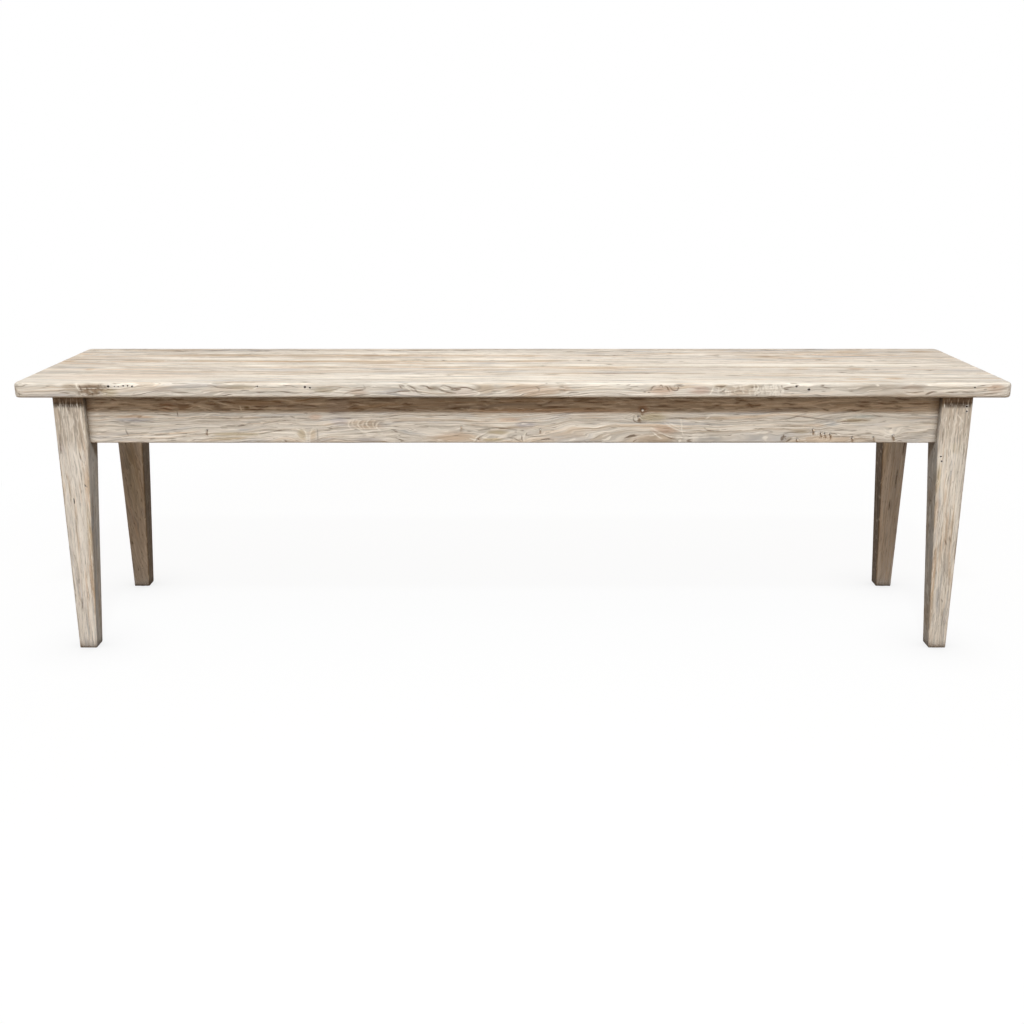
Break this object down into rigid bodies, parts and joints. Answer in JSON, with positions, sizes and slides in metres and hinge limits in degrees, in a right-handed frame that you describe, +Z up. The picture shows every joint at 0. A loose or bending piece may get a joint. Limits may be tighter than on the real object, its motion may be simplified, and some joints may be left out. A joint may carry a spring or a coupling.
{
  "type": "dining bench",
  "caption": "Long wooden dining bench: a plank seat with eased edges on a rail frame with square legs tapered on their inner faces, in limed, brushed pine.",
  "frame": {"origin": "on the floor, under the middle of the seat", "axes": "+X along the bench, +Y towards its back, across the seat, and +Z up"},
  "size_m": [1.6, 0.36, 0.463],
  "materials": {
    "limed_pine": "wire-brushed softwood, limed white and left matt",
    "frame_pine": "planed and left bare",
    "beech": "machined and left bare",
    "zinc_steel": "bright zinc plated",
    "glide_nylon": "moulded, matt"
  },
  "bodies": {
    "root": {"seat_plank_front": "limed_pine", "seat_plank_inner_front": "limed_pine", "seat_plank_middle": "limed_pine", "seat_plank_inner_back": "limed_pine", "seat_plank_back": "limed_pine", "leg_front_left": "limed_pine", "leg_front_right": "limed_pine", "leg_back_left": "limed_pine", "leg_back_right": "limed_pine", "long_rail_front": "limed_pine", "long_rail_back": "limed_pine", "end_rail_left": "limed_pine", "end_rail_right": "limed_pine", "cross_rail_left": "frame_pine", "cross_rail_right": "frame_pine", "corner_brace_front_left": "frame_pine", "corner_brace_front_right": "frame_pine", "corner_brace_back_left": "frame_pine", "corner_brace_back_right": "frame_pine", "seat_tongue_1": "beech", "seat_tongue_2": "beech", "seat_tongue_3": "beech", "seat_tongue_4": "beech", "seat_buttons": "beech", "button_screws": "zinc_steel", "foot_glide_front_left": "glide_nylon", "foot_glide_front_right": "glide_nylon", "foot_glide_back_left": "glide_nylon", "foot_glide_back_right": "glide_nylon"}
  },
  "joints": []
}
